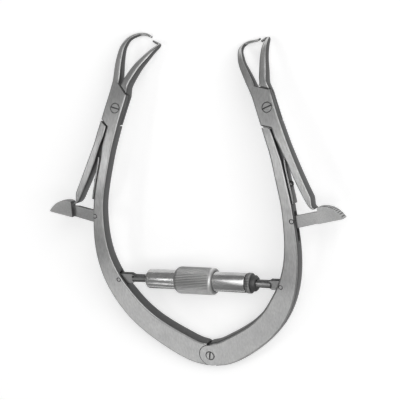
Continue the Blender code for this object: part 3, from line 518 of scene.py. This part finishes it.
def thread_mesh(name, side):
    """Rod whose radius is the core plus a triangle wave of place over pitch, less or plus the turn."""
    low, high = sorted((side * THREAD_START, side * THREAD_END[side]))
    along = np.linspace(low, high, int((high - low) / PITCH * POINTS_PER_PITCH))
    angle = np.linspace(0.0, 1.0, POINTS_ROUND, endpoint=False)[:, None]
    phase = (along / PITCH - side * angle) % 1.0
    crest = 1.0 - np.abs(2.0 * phase - 1.0)
    radius = THREAD_RADIUS - THREAD_DEPTH + THREAD_DEPTH * np.clip(1.25 * crest, 0.0, 1.0)
    radius[:, [0, -1]] = 0.0
    along[[0, -1]] = along[[1, -2]]
    return finish_turned(turned_mesh(name, along, radius, False), THREAD_RADIUS, THREAD_DEPTH)


def slim_rod(mesh, side):
    """Move the rod's points in to the thread's core; the eye stays as it is."""
    places = np.empty(len(mesh.vertices) * 3)
    mesh.vertices.foreach_get("co", places)
    places = places.reshape(-1, 3)
    across = places[:, 1:] - axis_place[1:]
    reach = np.linalg.norm(across, axis=1)
    on_rod = (np.abs(places[:, 0]) < THREAD_END[side]) & (reach > THREAD_RADIUS - THREAD_DEPTH)
    scale = (THREAD_RADIUS - 1.1 * THREAD_DEPTH) / np.maximum(reach, THREAD_RADIUS - THREAD_DEPTH)
    places[on_rod, 1:] = axis_place[1:] + across[on_rod] * scale[on_rod, None]
    mesh.vertices.foreach_set("co", places.ravel())
    mesh.update()
    return mesh


for side, name in ((-1, "left_spindle"), (1, "right_spindle")):
    dress(name, slots[name], slim_rod(merged_copy(name), side), "spindle_steel")
    thread = thread_mesh(name + "_thread", side)
    show(name + "_thread", thread, slots[name], body_of[name], finish="thread_steel")
print("threads: pitch %.1f mm, one of each hand" % (PITCH / MM))

# %% [markdown]
# ## Floor, light and camera
# The instrument was photographed on a white ground from above and from its right. The room is an even pale
# grey, which is what the satin faces mirror. The floor is white, and it is lifted a little only where the
# camera or a gloss sees it, so that no more light falls on the steel and the soft shadow stays.

# %% Floor, a little lifted where the camera or a gloss sees it
FLOOR_LIFT = 0.34
floor_mesh = bpy.data.meshes.new("floor")
floor_mesh.from_pydata([(-3, -3, 0), (3, -3, 0), (3, 3, 0), (-3, 3, 0)], [], [(0, 1, 2, 3)])
floor = bpy.data.objects.new("floor", floor_mesh)
bpy.context.scene.collection.objects.link(floor)
pale = bpy.data.materials.new("pale floor")
pale.use_nodes = True
paper = pale.node_tree.nodes["Principled BSDF"]
paper.inputs["Base Color"].default_value = (0.92, 0.92, 0.92, 1.0)
paper.inputs["Roughness"].default_value = 0.95
rays = pale.node_tree.nodes.new("ShaderNodeLightPath")
seen = rays.outputs["Is Camera Ray"]
for kind in ("Is Glossy Ray", "Is Transmission Ray"):
    either = pale.node_tree.nodes.new("ShaderNodeMath")
    either.operation = "MAXIMUM"
    pale.node_tree.links.new(seen, either.inputs[0])
    pale.node_tree.links.new(rays.outputs[kind], either.inputs[1])
    seen = either.outputs["Value"]
lift = pale.node_tree.nodes.new("ShaderNodeMath")
lift.operation = "MULTIPLY"
lift.inputs[1].default_value = FLOOR_LIFT
pale.node_tree.links.new(seen, lift.inputs[0])
paper.inputs["Emission Color"].default_value = (1.0, 1.0, 1.0, 1.0)
pale.node_tree.links.new(lift.outputs["Value"], paper.inputs["Emission Strength"])
floor_mesh.materials.append(pale)

print("floor lift", FLOOR_LIFT)

# %% [markdown]
# A bowed strip mirrors a different part of the room at each place, so each panel stands where the stretch
# that it brightens mirrors it. One wide soft lamp high on the right lights the floor and stays out of the
# front faces. Three weak panels on the left brighten the hinge end, the middle and the upper arms.

# %% Lamps and surroundings
def lamp(name, place, size, power):
    """Soft rectangular lamp that looks at the instrument."""
    data = bpy.data.lights.new(name, "AREA")
    data.shape = "RECTANGLE"
    data.size, data.size_y = size
    data.energy = power
    light = bpy.data.objects.new(name, data)
    bpy.context.scene.collection.objects.link(light)
    light.location = place
    light.rotation_euler = (-Vector(place)).to_track_quat("-Z", "Y").to_euler()
    return light


lamp("high right", (0.95, 0.35, 1.2), (1.5, 1.5), 15.0)
lamp("near left panel", (-0.66, -0.98, 0.90), (0.40, 0.28), 0.60)
lamp("middle panel", (-0.20, -0.34, 1.05), (0.25, 0.25), 0.36)
lamp("far left panel", (-0.55, 0.06, 1.1), (0.30, 0.14), 0.62)
ROOM_GREY = 0.32
world = bpy.data.worlds.new("room")
bpy.context.scene.world = world
world.use_nodes = True
world.node_tree.nodes["Background"].inputs["Color"].default_value = (ROOM_GREY, ROOM_GREY, ROOM_GREY, 1.0)
world.node_tree.nodes["Background"].inputs["Strength"].default_value = 1.0
bpy.context.scene.view_settings.view_transform = "Standard"

# %% [markdown]
# The camera was worked out from the pivots and the edges of the arms. It looks down from the right, with a
# long lens, so that near and far pieces keep almost the same scale.

# %% Camera at the photograph's angle
CAMERA_PLACE = Vector((0.33750, 0.09837, 0.68984))
CAMERA_TARGET = Vector((0.00532, 0.00262, 0.02202))
CAMERA_UP = Vector((-0.02022, 0.99104, -0.13204))
camera_data = bpy.data.cameras.new("camera")
camera_data.lens = 144.0
camera_data.sensor_width = 36.0
camera_data.clip_start = 0.01
camera = bpy.data.objects.new("camera", camera_data)
bpy.context.scene.collection.objects.link(camera)
back = (CAMERA_PLACE - CAMERA_TARGET).normalized()
right = CAMERA_UP.cross(back).normalized()
turned = Matrix((right, back.cross(right), back)).transposed().to_4x4()
camera.matrix_world = Matrix.Translation(CAMERA_PLACE) @ turned
bpy.context.scene.camera = camera
print("camera %.2f m from the instrument" % (CAMERA_PLACE - CAMERA_TARGET).length)
